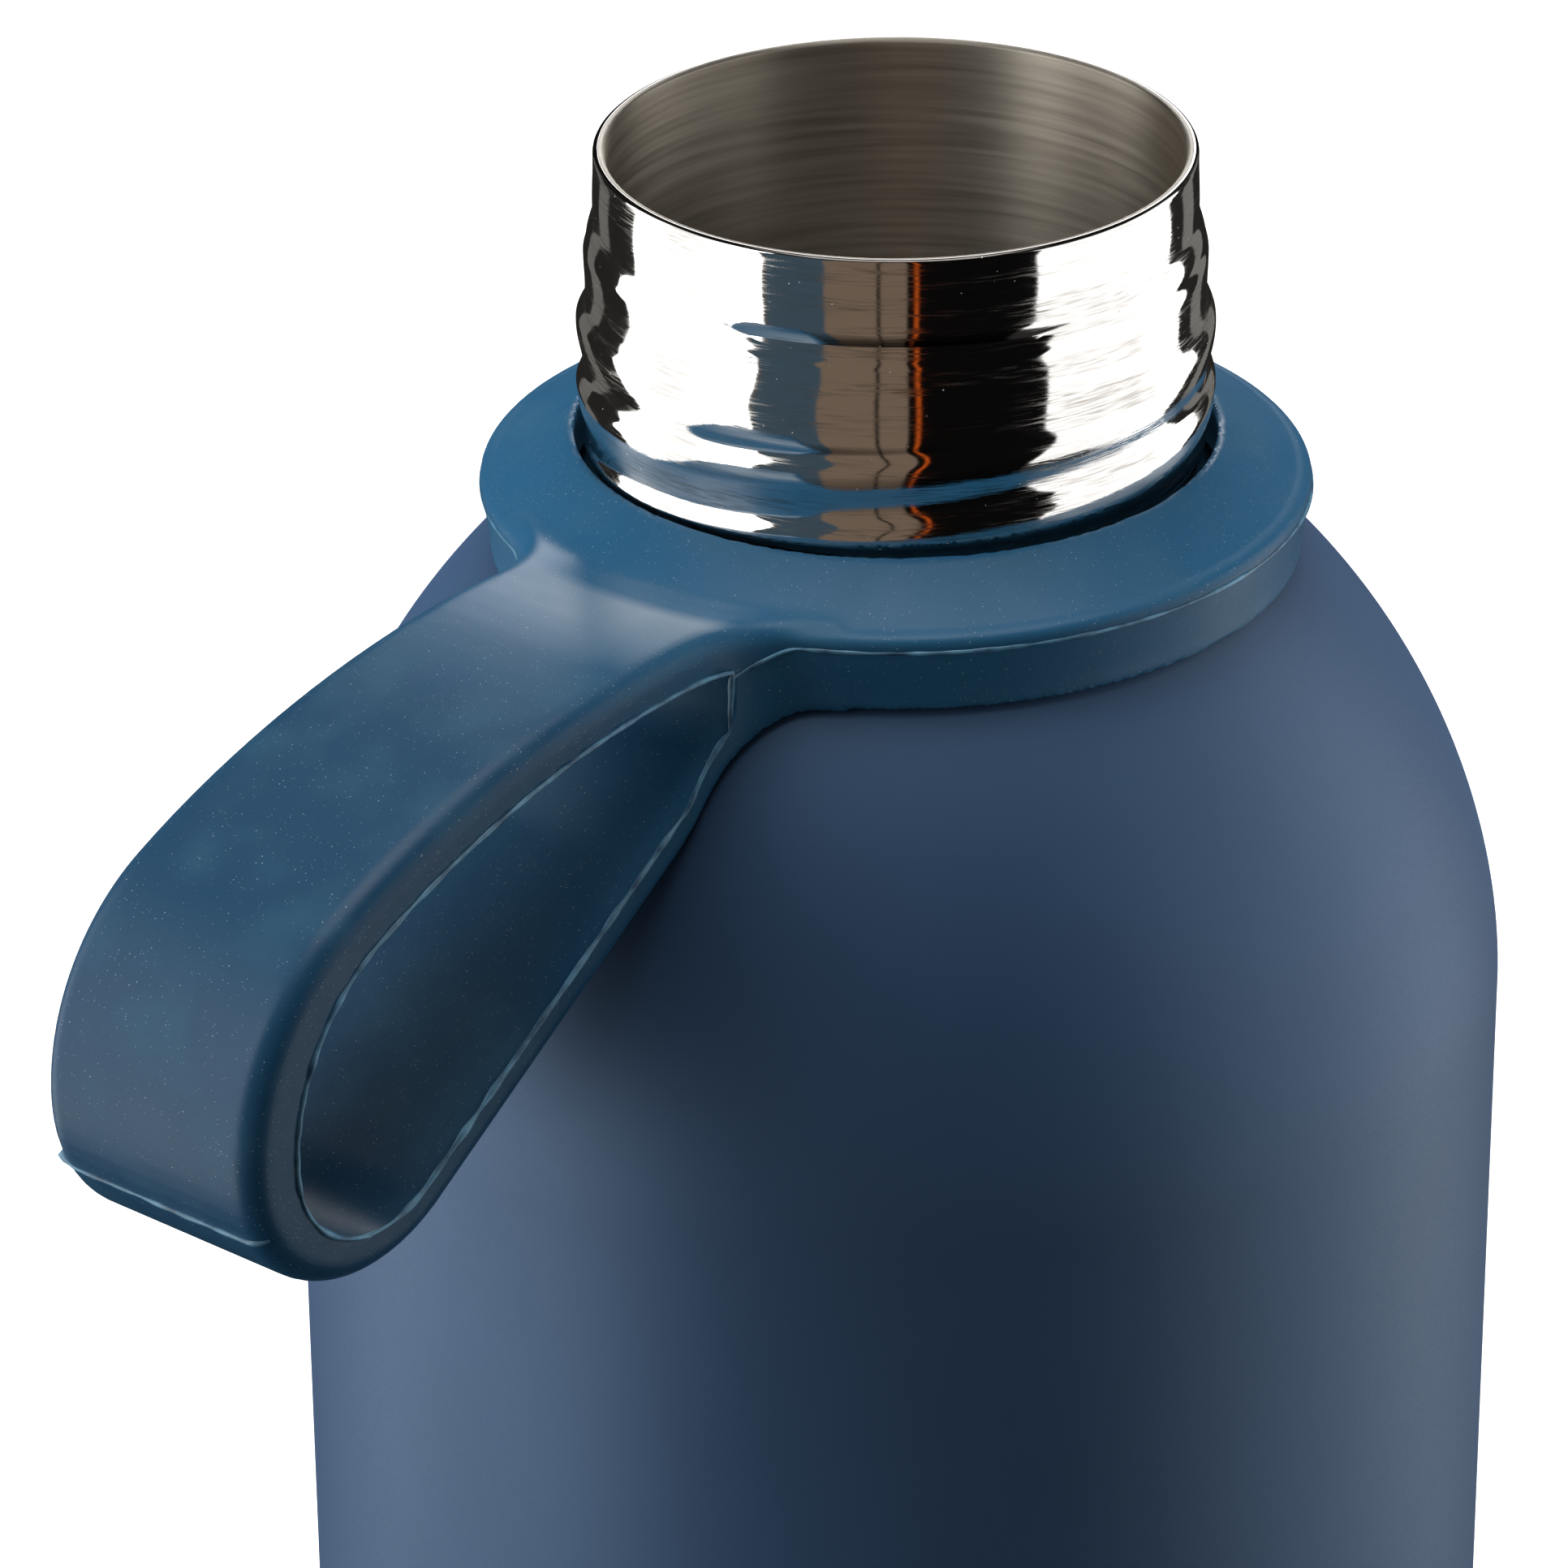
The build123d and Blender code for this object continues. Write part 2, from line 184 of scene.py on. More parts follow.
satinLook = {
    "colour": "#b6aea1",
    "shade": "#9c9488",
    "weldShade": "#7a756d",        # ground edge at the lip, painted darker as shade
    "weldShadeDepth": 0.2,         # mm
    "roughness": 0.5,
    "brushing": 0.86,         # turning marks spread reflections up and down the wall, hardly sideways
    "streakAcross": 12.0,     # mm, length of a turning mark
    "streakAlong": 0.16,      # mm, its width
    "streakDepth": 0.0025,    # mm
    "bandAcross": 16.0,       # mm, bands where the marks lie closer
    "bandAlong": 0.5,
    "grainSize": 0.3,         # mm, between the pits left by electropolishing
    "grainDepth": 0.004,
}


def satinSteel():
    # 304 stainless left from spinning and electropolishing: soft, warm grey, turning marks round the wall
    look = satinLook
    material, tree, output, place = startMaterial("satin_stainless")
    marks = addNode(tree, "TexNoise", {
        "Vector": stretched(tree, place, look["streakAcross"], look["streakAlong"]),
        "Scale": 1.0, "Detail": 4.0})
    bands = addNode(tree, "TexNoise", {
        "Vector": stretched(tree, place, look["bandAcross"], look["bandAlong"]), "Scale": 1.0, "Detail": 4.0})
    grain = addNode(tree, "TexNoise", {
        "Vector": stretched(tree, place, look["grainSize"], look["grainSize"]), "Scale": 1.0, "Detail": 2.0})
    shade = addNode(tree, "MapRange", {"Value": bands.outputs["Fac"], "From Min": 0.35, "From Max": 0.7})
    lip = lipShare(tree, place, look["weldShadeDepth"])
    # random bands of tone, and the painted shade on the ground edge at the lip
    steel = layered(tree, look["colour"], [(shade.outputs[0], look["shade"]), (lip, look["weldShade"])])
    roughness = addNode(tree, "MapRange", {
        "Value": bands.outputs["Fac"], "From Min": 0.3, "From Max": 0.7,
        "To Min": look["roughness"] + 0.05, "To Max": look["roughness"] - 0.04})
    turning = addNode(tree, "Bump", {
        "Height": marks.outputs["Fac"], "Strength": 1.0, "Distance": look["streakDepth"] * mm})
    pitted = addNode(tree, "Bump", {
        "Height": grain.outputs["Fac"], "Strength": 1.0, "Distance": look["grainDepth"] * mm,
        "Normal": turning.outputs["Normal"]})
    metal = addNode(tree, "BsdfPrincipled", {
        "Base Color": steel, "Metallic": 1.0, "Roughness": roughness.outputs[0],
        "Anisotropic": look["brushing"], "Anisotropic Rotation": 0.25, "Normal": pitted.outputs["Normal"],
        "Tangent": addNode(tree, "Tangent", direction_type="RADIAL", axis="Z").outputs["Tangent"]})
    tree.links.new(metal.outputs[0], output.inputs["Surface"])
    return material


coatLook = {
    "colour": "#2a4361",
    "patch": "#263e5b",
    "patchSize": 22.22,       # mm, slow changes of tone from spraying
    "roughness": 0.52,
    "specular": 0.85,
    "tint": "#b4d8ff",        # the blue carries into the broad sheen
    "edge": "#5d8ccc",        # and into the glow of the peel at grazing angles
    "edgeShare": 0.12,
    "grain": 0.22,            # mm between the bumps of the baked powder
    "grainDepth": 0.0016,
}


def powderCoat():
    # Polyester powder baked on steel: matt, with a very fine orange peel that softens every reflection
    look = coatLook
    material, tree, output, place = startMaterial("powder_coat")
    peel = addNode(tree, "TexNoise", {
        "Vector": stretched(tree, place, look["grain"], look["grain"]), "Scale": 1.0, "Detail": 2.0})
    patches = addNode(tree, "TexNoise", {
        "Vector": place, "Scale": 1 / (look["patchSize"] * mm), "Detail": 3.0})
    tone = addNode(tree, "MapRange", {"Value": patches.outputs["Fac"], "From Min": 0.3, "From Max": 0.7})
    colour = layered(tree, look["colour"], [(tone.outputs[0], look["patch"])])
    roughness = addNode(tree, "MapRange", {
        "Value": peel.outputs["Fac"], "From Min": 0.3, "From Max": 0.7,
        "To Min": look["roughness"] - 0.03, "To Max": look["roughness"] + 0.05})
    bump = addNode(tree, "Bump", {
        "Height": peel.outputs["Fac"], "Strength": 0.6, "Distance": look["grainDepth"] * mm})
    coat = addNode(tree, "BsdfPrincipled", {
        "Base Color": colour, "Roughness": roughness.outputs[0],
        "Specular IOR Level": look["specular"], "Specular Tint": linear(look["tint"]),
        "Sheen Weight": look["edgeShare"], "Sheen Roughness": 0.45, "Sheen Tint": linear(look["edge"]),
        "Normal": bump.outputs["Normal"]})
    tree.links.new(coat.outputs[0], output.inputs["Surface"])
    return material


siliconeLook = {
    "colour": "#173f5b",
    "collar": "#215577",      # the collar's lighter blue, giving way to the strap's darker one further out
    "bloom": "#2d5970",
    "bloomSize": 6.25,        # mm, clouds of bloom
    "collarToStrap": (30.0, 52.0),  # mm from the axis, where the collar's colour gives way to the strap's
    "roughness": 0.42,
    "specular": 0.2,
    "grain": 0.16,            # mm, the spark-eroded texture of the mould
    "grainDepth": 0.004,
    "sheenAndDust": "#8e9ca8",        # painted sheen, with dust lying in the fold, where the strap leaves the collar
    "sheenAndDustShare": 0.6,
    "sheenAndDustReach": (31.0, 32.5, 33.0, 42.0),   # mm from the axis: starts, full, full, gone
    "sheenAndDustSide": (-8.0, 4.0),  # mm along X, from the side with least painted sheen to the side with most
    "dust": "#93a4b0",
    "dustSpacing": 0.5,       # mm
    "dustSize": 0.042,        # mm, radius
    "dustShare": 0.42,
    "lintShare": 0.35,        # finer specks between
    "flash": "#5a90ad",
    "flashCloud": 2.0,        # mm, where the fin is thicker and darker
}


def mouldedSilicone():
    # Silicone rubber from an eroded mould: soft satin sheen, a faint grey bloom, and lint that clings to it
    look = siliconeLook
    material, tree, output, place = startMaterial("moulded_silicone")
    grain = addNode(tree, "TexNoise", {
        "Vector": stretched(tree, place, look["grain"], look["grain"]), "Scale": 1.0, "Detail": 2.0})
    cloud = addNode(tree, "TexNoise", {"Vector": place, "Scale": 1 / (look["bloomSize"] * mm), "Detail": 4.0})
    bloom = addNode(tree, "MapRange", {
        "Value": cloud.outputs["Fac"], "From Min": 0.48, "From Max": 0.8, "To Max": 0.45})
    flat = addNode(tree, "Mapping", {"Vector": place, "Scale": (1, 1, 0)}).outputs["Vector"]
    out = addNode(tree, "VectorMath", {0: flat}, operation="LENGTH").outputs["Value"]
    collarToStrap = addNode(tree, "MapRange", {
        "Value": out, "From Min": look["collarToStrap"][0] * mm, "From Max": look["collarToStrap"][1] * mm})

    # Painted sheen with dust: a lighter band round the fold, only where the rubber faces up, thinner towards
    # one side
    starts, full, fades, gone = [reach * mm for reach in look["sheenAndDustReach"]]
    across = addNode(tree, "SeparateXYZ", {"Vector": place}).outputs["X"]
    normal = addNode(tree, "TexCoord").outputs["Normal"]
    facing = addNode(tree, "SeparateXYZ", {"Vector": normal}).outputs["Z"]
    limits = [
        {"Value": out, "From Min": fades, "From Max": gone, "To Min": 1.0, "To Max": 0.0},
        {"Value": facing, "From Min": 0.86, "From Max": 0.99},
        {"Value": across, "From Min": look["sheenAndDustSide"][0] * mm, "From Max": look["sheenAndDustSide"][1] * mm,
         "To Min": 0.15},
    ]
    sheenAndDust = addNode(tree, "MapRange", {
        "Value": out, "From Min": starts, "From Max": full, "To Max": look["sheenAndDustShare"]})
    for limit in limits:
        sheenAndDust = addNode(tree, "Math", {
            0: sheenAndDust.outputs[0], 1: addNode(tree, "MapRange", limit).outputs[0]}, operation="MULTIPLY")
    dust = dustSpecks(tree, place, look["dustSpacing"], look["dustSize"], look["dustShare"])
    lint = dustSpecks(tree, place, look["dustSpacing"] * 0.5, look["dustSize"] * 0.7, look["lintShare"])
    both = addNode(tree, "Math", {0: dust, 1: lint}, operation="MAXIMUM")
    # over the collar's colour: the strap's colour, bloom, the painted sheen with dust at the fold, and dust
    # specks
    rubber = layered(tree, look["collar"], [
        (collarToStrap.outputs[0], look["colour"]), (bloom.outputs[0], look["bloom"]),
        (sheenAndDust.outputs[0], look["sheenAndDust"]), (both.outputs[0], look["dust"])])
    roughness = addNode(tree, "MapRange", {
        "Value": cloud.outputs["Fac"], "From Min": 0.3, "From Max": 0.7,
        "To Min": look["roughness"] - 0.05, "To Max": look["roughness"] + 0.07})
    bump = addNode(tree, "Bump", {
        "Height": grain.outputs["Fac"], "Strength": 0.5, "Distance": look["grainDepth"] * mm})
    skin = addNode(tree, "BsdfPrincipled", {
        "Base Color": rubber, "Roughness": roughness.outputs[0],
        "Specular IOR Level": look["specular"], "Normal": bump.outputs["Normal"]})
    tree.links.new(skin.outputs[0], output.inputs["Surface"])
    return material


def siliconeFlash():
    # The thin fin that the mould's joint leaves: the same rubber, paler because light gets through it
    look = siliconeLook
    material, tree, output, place = startMaterial("silicone_flash")
    cloud = addNode(tree, "TexNoise", {
        "Vector": place, "Scale": 1 / (look["flashCloud"] * mm), "Detail": 3.0})
    shade = addNode(tree, "MapRange", {"Value": cloud.outputs["Fac"], "From Min": 0.3, "From Max": 0.7})
    colour = layered(tree, look["flash"], [(shade.outputs[0], look["colour"])])
    fin = addNode(tree, "BsdfPrincipled", {"Base Color": colour, "Roughness": 0.4})
    tree.links.new(fin.outputs[0], output.inputs["Surface"])
    return material


# The parts inside the wall: two colours, pattern size and relief in mm, its strength, detail and the finish
hiddenLooks = {
    # Zirconium alloy powder pressed to a tablet: dull dark grey with open grain
    "sintered_getter": (("#3a3a3c", "#77757a"), 0.25, 0.05, 0.8, 4.0, {"Metallic": 0.7, "Roughness": 0.65}),
    # Low-melting glass bead, fused in the furnace: black, glossy, with a few frozen ripples
    "fused_seal_glass": (("#14130f", "#35322a"), 1.11, 0.1, 0.4, 2.0, {"Roughness": 0.18, "IOR": 1.6}),
    # Rolled copper foil: bright, warm, with creases from wrapping
    "rolled_copper_foil": (("#d99a78", "#b8714d"), 4.55, 0.3, 0.6, 5.0, {"Metallic": 1.0, "Roughness": 0.22}),
}


def hiddenFinish(name):
    (first, second), size, relief, strength, detail, finish = hiddenLooks[name]
    material, tree, output, place = startMaterial(name)
    pattern = addNode(tree, "TexNoise", {"Vector": place, "Scale": 1 / (size * mm), "Detail": detail})
    colour = layered(tree, first, [(pattern.outputs["Fac"], second)])
    bump = addNode(tree, "Bump", {
        "Height": pattern.outputs["Fac"], "Strength": strength, "Distance": relief * mm})
    shader = addNode(tree, "BsdfPrincipled", {
        "Base Color": colour, "Normal": bump.outputs["Normal"], **finish})
    tree.links.new(shader.outputs[0], output.inputs["Surface"])
    return material


def meshPiece(name, points, faces, material, sharpAngle=38, trim=None, trimStart=0):
    # Points in millimetres; the mesh is in metres. Faces from trimStart on take the trim material
    mesh = bpy.data.meshes.new(name)
    mesh.from_pydata((np.asarray(points) * mm).tolist(), [], [list(face) for face in faces])
    if trim:
        mesh.polygons.foreach_set("material_index", [int(i >= trimStart) for i in range(len(faces))])
    work = bmesh.new()
    work.from_mesh(mesh)
    bmesh.ops.remove_doubles(work, verts=work.verts, dist=1e-7)
    bmesh.ops.recalc_face_normals(work, faces=work.faces)
    work.to_mesh(mesh)
    work.free()
    mesh.shade_smooth()
    mesh.set_sharp_from_angle(angle=math.radians(sharpAngle))
    mesh.materials.append(material)
    if trim:
        mesh.materials.append(trim)
    piece = bpy.data.objects.new(name, mesh)
    bpy.context.collection.objects.link(piece)
    return piece


def turned(name, radius, height, material, steps=256, sharpAngle=38):
    # A closed outline turned round the axis; radius is one value a point, or one for each angle too
    radius = np.asarray(radius, float)
    if radius.ndim == 1:
        radius = np.repeat(radius[:, None], steps, axis=1)
    count, steps = radius.shape
    angle = np.arange(steps) * 2 * math.pi / steps
    level = np.repeat(np.asarray(height, float)[:, None], steps, axis=1)
    points = np.stack([radius * np.cos(angle), radius * np.sin(angle), level], axis=-1).reshape(-1, 3)
    faces = []
    for i in range(count):
        low, high = i * steps, (i + 1) % count * steps
        for j in range(steps):
            k = (j + 1) % steps
            faces.append((low + j, low + k, high + k, high + j))
    return meshPiece(name, points, faces, material, sharpAngle)


def ease(value, start, end):  # smooth step from 0 to 1
    t = np.clip((value - start) / (end - start), 0, 1)
    return t * t * (3 - 2 * t)


def roundCorner(centre, radius, fromDegrees, toDegrees, steps=6):
    angles = np.radians(np.linspace(fromDegrees, toDegrees, steps))
    return [(centre[0] + radius * math.cos(a), centre[1] + radius * math.sin(a)) for a in angles]


shoulder = {
    "depth": 65.0,       # rim down to the straight side
    "eye": 1.85,         # radius at which the curve would run level
    "neckRadius": 23.6,  # where the flare under the neck meets it
    "neckDepth": 26.2,
    "power": 1.838,
}


def shoulderPoint(angle, inward=0.0):  # angle 0 is the straight side
    reach = bodyRadius - shoulder["eye"]
    share = (shoulder["neckRadius"] - shoulder["eye"]) / reach
    power = shoulder["power"]
    rise = (shoulder["depth"] - shoulder["neckDepth"]) / (1 - share ** power) ** (1 / power)
    across = math.cos(angle) ** (2 / power)
    up = math.sin(angle) ** (2 / power)
    slopeR, slopeZ = across ** (power - 1) / reach, up ** (power - 1) / rise
    length = math.hypot(slopeR, slopeZ)
    r = shoulder["eye"] + reach * across - inward * slopeR / length
    z = rimHeight - shoulder["depth"] + rise * up - inward * slopeZ / length
    return r, z


def shoulderCurve(topRadius, inward=0.0, steps=64):
    low, high = 0.0, math.pi / 2
    for _ in range(50):
        middle = (low + high) / 2
        low, high = (middle, high) if shoulderPoint(middle, inward)[0] > topRadius else (low, middle)
    return [shoulderPoint(low * i / steps, inward) for i in range(steps + 1)]


neckShape = {
    "rimRadius": 21.58,
    "sheet": 0.40,
    "lipRounding": 0.3,
    "shelfRise": 0.52,      # rim band out to the thread's upper valleys
    "lowerRise": 0.40,      # and on to its lower ones
    "ridgeRise": (0.26, 0.52),   # first ridge, full ridges
    "ridgeSpacing": 5.0,    # two starts, lead twice this
    "firstRidge": 10.3,     # depth of a ridge on the camera's side
    "ridgeFall": 0.74,      # share of the spacing over which a ridge falls away downwards
    "undercut": 0.42,       # wall drawn in above the step
    "startWidth": 58.0,     # degrees either way over which the thread starts with a flat step
    "rootRadius": 22.0,
    "foldRadius": 21.9,     # hidden side of the sheet
    "steps": 480,
    "frontAngle": 308.5,    # degrees round the axis
}


def neckRadius(depth, angle):
    # Rolled neck: rim band, step, two-start thread and root, by depth below the rim
    shape = neckShape
    turn = np.degrees(angle) - shape["frontAngle"]
    start = np.exp(-((np.mod(turn + 90, 180) - 90) / shape["startWidth"]) ** 2)
    ledge = ease(depth, 4.3 + 2.8 * start, 6.6 + 1.5 * start)
    radius = shape["rimRadius"] + 0.1 * ease(depth, 0.5, 4.0) + shape["shelfRise"] * ledge * (1 - 0.9 * start)
    radius = radius + shape["lowerRise"] * ease(depth, 9.0, 14.0)
    radius = radius - shape["undercut"] * start * ease(depth, 5.4, 7.4) * (1 - ledge)
    crest = shape["firstRidge"] - 2 * shape["ridgeSpacing"] * turn / 360
    u = np.mod((depth - crest) / shape["ridgeSpacing"], 1.0)
    fall = shape["ridgeFall"]
    falling = 0.5 + 0.5 * np.cos(math.pi * u / fall)
    rising = 0.5 - 0.5 * np.cos(math.pi * (u - fall) / (1 - fall))
    flat = start * (1 - ease(depth, 13.2, 15.4))
    ridge = (1 - flat) * np.where(u < fall, falling, rising) + flat * (0.3 + 0.05 * (depth - 7.0))
    first, full = shape["ridgeRise"]
    radius = radius + (first + (full - first) * ease(depth, 8.0, 13.0)) * ridge * ledge
    low = ease(depth, 21.3, 23.4)
    radius = radius * (1 - low) + shape["rootRadius"] * low
    return radius + (shoulder["neckRadius"] - shape["rootRadius"]) * ease(depth, 23.4, 29.0) * 2


def buildNeck(material):
    shape = neckShape
    angle = np.arange(shape["steps"]) * 2 * math.pi / shape["steps"]
    rounding = shape["lipRounding"]
    inner = shape["rimRadius"] - shape["sheet"] + 0.01
    radius, height = [], []
    for r, z in [(inner, 0.0)] + roundCorner((shape["rimRadius"] - rounding, -rounding), rounding, 90, 0):
        radius.append(np.full(angle.shape, r))
        height.append(z)
    for depth in np.arange(0.6, 26.21, 0.16):
        radius.append(np.minimum(neckRadius(depth, angle), shoulder["neckRadius"]))
        height.append(-depth)
    for depth in (26.5, 25.0, 23.4, 21.0, 6.6, 5.4, 4.2):  # hidden side of the sheet
        band = neckRadius(depth, 0.0) if depth < 7 else shape["foldRadius"]
        radius.append(np.full(angle.shape, min(band, shape["foldRadius"]) - shape["sheet"]))
        height.append(-depth)
    piece = turned("neck", radius, np.array(height) + rimHeight, material, sharpAngle=50)
    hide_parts("outer_shell")
    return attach(piece, "bottle")


bodyShape = {"wall": 0.5, "topTuck": 0.3}


def buildBody(material):
    # Coated wall from under the collar to the weld at the base
    wall = bodyShape["wall"]
    outside = [(bodyRadius, z) for z in np.linspace(jointHeight, rimHeight - shoulder["depth"], 24)[:-1]]
    outside += shoulderCurve(shoulder["neckRadius"] - 0.02)
    inside = shoulderCurve(shoulder["neckRadius"] - bodyShape["topTuck"], wall)[::-1]
    inside += [(bodyRadius - wall, jointHeight)]
    outline = np.array(outside + inside)
    piece = turned("body", outline[:, 0], outline[:, 1], material)
    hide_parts("outer_shell")
    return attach(piece, "bottle")


footShape = {
    "corner": 5.0,
    "ring": 4.0,
    "recess": 3.0,
    "wall": 0.5,
    "edge": 0.45,       # rolled edges of the ring
    "cup": 4.0,
    "cupHeight": 2.0,
    "hole": 1.0,
}


def buildFoot(material):
    shape = footShape
    corner, wall, edge = shape["corner"], shape["wall"], shape["edge"]
    recess = bodyRadius - corner - shape["ring"]
    roof = shape["recess"]
    cupTop = roof + shape["cupHeight"]
    outline = [(bodyRadius, jointHeight)]
    outline += roundCorner((bodyRadius - corner, corner), corner, 0, -90, 14)
    outline += roundCorner((recess + edge, edge), edge, -90, -180)
    outline += roundCorner((recess - edge, roof - edge), edge, 0, 90)
    outline += [(shape["cup"], roof), (shape["cup"], cupTop), (shape["hole"], cupTop)]
    outline += [(shape["hole"], cupTop + wall), (shape["cup"] + wall, cupTop + wall)]
    outline += [(shape["cup"] + wall, roof + wall), (recess, roof + wall)]
    outline += [(recess + wall, roof), (recess + wall, wall)]
    outline += roundCorner((bodyRadius - corner, corner), corner - wall, -90, 0, 14)
    outline += [(bodyRadius - wall, jointHeight)]
    outline = np.array(outline)
    piece = turned("foot", outline[:, 0], outline[:, 1], material)
    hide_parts("outer_base")
    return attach(piece, "bottle")


coverShape = {
    "wall": 0.6,
    "edge": 0.5,
    "dish": 0.35,           # depth of the dish
    "dishRadius": 22.0,
    "ringRadius": 29.0,     # stiffening ring
    "ringRise": 0.22,
    "ringWidth": 0.9,
}


def buildCover(material):
    # Pressed disc in the foot's recess, with a shallow dish and one stiffening ring
    shape = coverShape
    radius, low, high, wall = coverHigh[0], coverLow[2], coverHigh[2], shape["wall"]
    across = np.linspace(0.0, radius - shape["edge"], 90)
    face = low + shape["dish"] * (1 - ease(across, shape["dishRadius"] - 2, shape["dishRadius"] + 2))
    face = face + shape["ringRise"] * np.exp(-((across - shape["ringRadius"]) / shape["ringWidth"]) ** 2)
    outline = list(zip(across, face))
    outline += roundCorner((radius - shape["edge"], low + shape["edge"]), shape["edge"], -80, 0)
    outline += [(radius, high), (radius - wall, high), (radius - wall, low + wall + 0.3)]
    outline += [(r, z + wall) for r, z in list(zip(across, face))[::-1] if r < radius - 2 * wall]
    outline = np.array(outline)
    piece = turned("base_disc", outline[:, 0], outline[:, 1], material)
    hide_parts("base_cover")
    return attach(piece, "bottle")


linerShape = {
    "wall": 0.4,
    "neckDepth": 24.0,      # straight mouth, from the rim down
    "flareRadius": 23.6,
    "corner": 10.0,
}


def buildLiner(material):
    # Spun liner: mouth, shoulder and side in one piece, and a dished bottom welded on
    shape, wall = linerShape, linerShape["wall"]
    inward = bodyRadius - linerRadius
    mouth = neckShape["rimRadius"] - neckShape["sheet"] - 0.02
    joint = linerHigh[2]
    rounding = neckShape["lipRounding"]
    throat = rimHeight - shape["neckDepth"]

    def flare(top, end):  # smooth turn from the mouth into the shoulder
        t = np.linspace(0, 1, 14)[1:-1]
        bend = (top[0], end[1] + 0.35 * (top[1] - end[1]))
        return [((1 - s) ** 2 * top[0] + 2 * s * (1 - s) * bend[0] + s * s * end[0],
                 (1 - s) ** 2 * top[1] + 2 * s * (1 - s) * bend[1] + s * s * end[1]) for s in t]

    outer = shoulderCurve(shape["flareRadius"], inward)
    inner = shoulderCurve(shape["flareRadius"], inward + wall)
    outline = [(linerRadius, joint)] + outer + flare((mouth, throat), outer[-1])[::-1]
    outline += [(mouth, throat), (mouth, rimHeight)]
    outline += roundCorner((mouth - wall + rounding, rimHeight - rounding), rounding, 90, 180)
    outline += [(mouth - wall, z) for z in np.linspace(rimHeight - 1, throat, 30)]
    outline += flare((mouth - wall, throat), inner[-1]) + inner[::-1] + [(linerRadius - wall, joint)]
    outline = np.array(outline)
    vessel = turned("liner", outline[:, 0], outline[:, 1], material, sharpAngle=50)
    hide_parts("inner_vessel")

    corner, low = shape["corner"], linerLow[2]
    dish = [(0.0, low), (linerRadius - corner, low)]
    dish += roundCorner((linerRadius - corner, low + corner), corner, -90, 0, 16)
    dish += [(linerRadius, joint), (linerRadius - wall, joint)]
    dish += roundCorner((linerRadius - corner, low + corner), corner - wall, 0, -90, 16)
    dish += [(0.0, low + wall)]
    dish = np.array(dish)
    bottom = turned("liner_bottom", dish[:, 0], dish[:, 1], material)
    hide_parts("inner_bottom")
    for piece in (vessel, bottom):
        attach(piece, "bottle")


loopShape = {
    "gridStep": 0.38,
    "boreRadius": 23.2,
    "topDepth": 21.4,
    "topSlope": 27.0,         # degrees
    "rimRounding": 1.05,
    "boreRounding": 0.35,
    "sideHeight": 3.7,
    "sideDraft": 0.6,
    "shoulderGap": 0.3,
    "strapStart": 24.0,       # from the axis, both strands run in to here
    "strapHeading": 4.2,      # degrees above level, going out from the collar
    "strapRoot": (31.0, 26.9),    # distance from the axis and depth of the upper strand's underside
    "strapRootThickness": 3.15,
    "strapArcs": ((70.0, 29.4), (14.6, 66.0), (8.0, 121.0)),  # inner radius, degrees
    "strapGrowth": (6.6, 2.2, 3.8),   # outer radius less inner radius
    "strandThickness": 1.9,   # lower strand where it lies along the shoulder
    "edgeRounding": 1.9,
    "webStart": 34.0,         # from the axis, where the strap begins to widen
    "webRadius": 9.5,
    "rootBlend": 0.6,
    "holeEnd": 32.6,          # from the axis, blunt upper end of the finger hole
    "holeRounding": (0.9, 1.2),   # at that end, along the shoulder
    "bend": (27.0, 35.0),     # from the axis, two places along the strap, made into points that nothing uses
    "bendDepth": 27.0,
}


def outlineDistance(u, v, outline):  # signed, negative inside a closed outline
    best, inside = np.full(u.shape, 1e9), np.zeros(u.shape, bool)
    for (u0, v0), (u1, v1) in zip(outline, list(outline[1:]) + [outline[0]]):
        du, dv = u1 - u0, v1 - v0
        if du * du + dv * dv < 1e-12:
            continue
        t = np.clip(((u - u0) * du + (v - v0) * dv) / (du * du + dv * dv), 0, 1)
        best = np.minimum(best, (u - u0 - t * du) ** 2 + (v - v0 - t * dv) ** 2)
        if dv:
            inside ^= ((v0 > v) != (v1 > v)) & (u < u0 + (v - v0) * du / dv)
    return np.where(inside, -1, 1) * np.sqrt(best)


tableLow, tableHigh, tableStep = (-36.0, rimHeight - 68.0), (90.0, rimHeight - 12.0), 0.14


def distanceTable(outline):
    u = np.arange(tableLow[0], tableHigh[0], tableStep)
    v = np.arange(tableLow[1], tableHigh[1], tableStep)
    return outlineDistance(*np.meshgrid(u, v, indexing="ij"), outline)


def readTable(table, u, v):
    i = np.clip((u - tableLow[0]) / tableStep, 0, table.shape[0] - 1.001)
    j = np.clip((v - tableLow[1]) / tableStep, 0, table.shape[1] - 1.001)
    a, b = i.astype(int), j.astype(int)
    s, t = i - a, j - b
    low = table[a, b] * (1 - s) + table[a + 1, b] * s
    high = table[a, b + 1] * (1 - s) + table[a + 1, b + 1] * s
    return low * (1 - t) + high * t


def arcChain(start, heading, arcs, steps=20):
    # Points along arcs that turn downwards one after another
    points, (u, v) = [start], start
    for radius, turn in arcs:
        a = math.radians(heading)
        centre = (u + radius * math.sin(a), v - radius * math.cos(a))
        for i in range(1, steps + 1):
            b = math.radians(heading - turn * i / steps)
            points.append((centre[0] - radius * math.sin(b), centre[1] + radius * math.cos(b)))
        (u, v), heading = points[-1], heading - turn
    return points, heading


